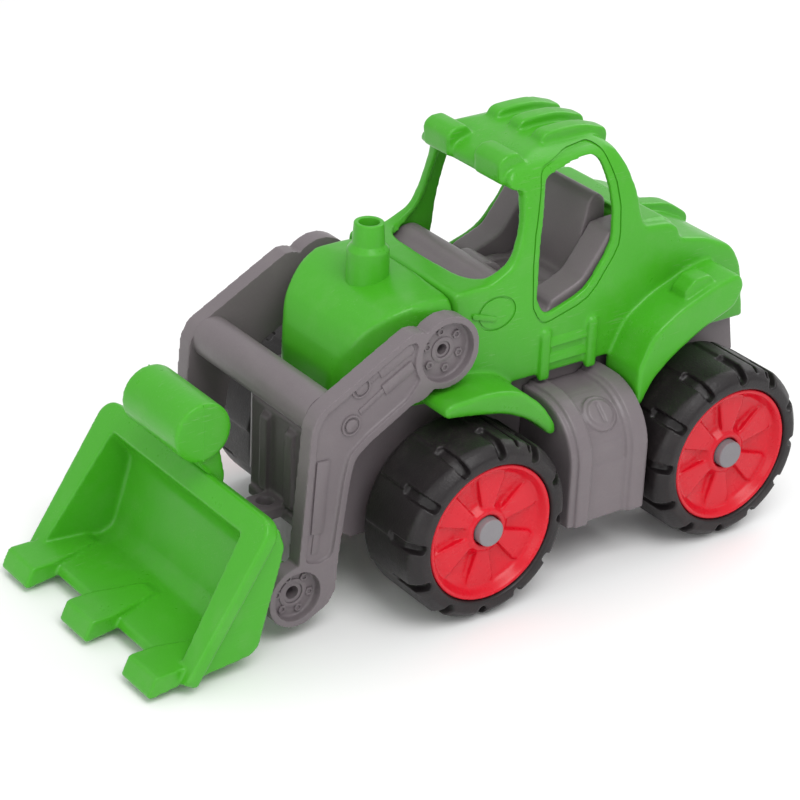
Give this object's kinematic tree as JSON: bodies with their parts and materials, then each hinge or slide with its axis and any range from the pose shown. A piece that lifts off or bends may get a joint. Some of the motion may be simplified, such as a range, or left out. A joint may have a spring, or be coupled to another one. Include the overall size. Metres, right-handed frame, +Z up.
{
  "type": "toy wheel loader",
  "caption": "Moulded toy wheel loader with free-rolling wheels, open cab, lifting arms and a tilting toothed bucket.",
  "frame": {"origin": "on the ground at the centre of the toy's outline, wheels resting on Z = 0", "axes": "+X towards the bucket (forward), +Y to the toy's left, +Z up"},
  "size_m": [0.327, 0.159, 0.1866],
  "materials": {
    "body_green": "satin moulded plastic",
    "frame_grey": "satin moulded plastic",
    "rim_red": "glossy moulded plastic",
    "tyre_black": "smooth satin soft plastic",
    "cap_grey": "satin moulded plastic",
    "axle_steel": "drawn steel rod",
    "screw_steel": "zinc plated steel"
  },
  "bodies": {
    "chassis": {"cab_body": "body_green", "cabin_tub": "frame_grey", "chassis": "frame_grey", "chassis_screws": "screw_steel", "exhaust_stack": "body_green", "front_axle": "axle_steel", "front_plate": "frame_grey", "hood": "body_green", "hub_cap_front_left": "cap_grey", "hub_cap_front_right": "cap_grey", "hub_cap_rear_left": "cap_grey", "hub_cap_rear_right": "cap_grey", "lift_shaft": "frame_grey", "rear_axle": "axle_steel", "seat": "frame_grey", "side_tank_left": "frame_grey", "side_tank_right": "frame_grey"},
    "loader_arms": {"cross_bar": "frame_grey", "loader_arm_left": "frame_grey", "loader_arm_right": "frame_grey"},
    "bucket": {"bucket_back": "body_green", "bucket_front": "body_green", "bucket_grip": "body_green", "tilt_pin_left": "frame_grey", "tilt_pin_right": "frame_grey"},
    "wheel_front_left": {"rim_front_left": "rim_red", "tyre_front_left": "tyre_black"},
    "wheel_front_right": {"rim_front_right": "rim_red", "tyre_front_right": "tyre_black"},
    "wheel_rear_left": {"rim_rear_left": "rim_red", "tyre_rear_left": "tyre_black"},
    "wheel_rear_right": {"rim_rear_right": "rim_red", "tyre_rear_right": "tyre_black"}
  },
  "joints": [
    {"name": "arm_lift", "type": "hinge", "parent": "chassis", "child": "loader_arms", "pos_m": [0.015, 0, 0.1138], "axis": [0, -1, 0], "range_deg": [0, 70]},
    {"name": "bucket_tilt", "type": "hinge", "parent": "loader_arms", "child": "bucket", "pos_m": [0.086, 0, 0.0205], "axis": [0, -1, 0], "range_deg": [-80, 12]},
    {"name": "wheel_spin_front_left", "type": "hinge", "parent": "chassis", "child": "wheel_front_left", "pos_m": [0.009, 0.059, 0.041], "axis": [0, 1, 0], "continuous": true},
    {"name": "wheel_spin_front_right", "type": "hinge", "parent": "chassis", "child": "wheel_front_right", "pos_m": [0.009, -0.059, 0.041], "axis": [0, 1, 0], "continuous": true},
    {"name": "wheel_spin_rear_left", "type": "hinge", "parent": "chassis", "child": "wheel_rear_left", "pos_m": [-0.1225, 0.059, 0.041], "axis": [0, 1, 0], "continuous": true},
    {"name": "wheel_spin_rear_right", "type": "hinge", "parent": "chassis", "child": "wheel_rear_right", "pos_m": [-0.1225, -0.059, 0.041], "axis": [0, 1, 0], "continuous": true}
  ]
}
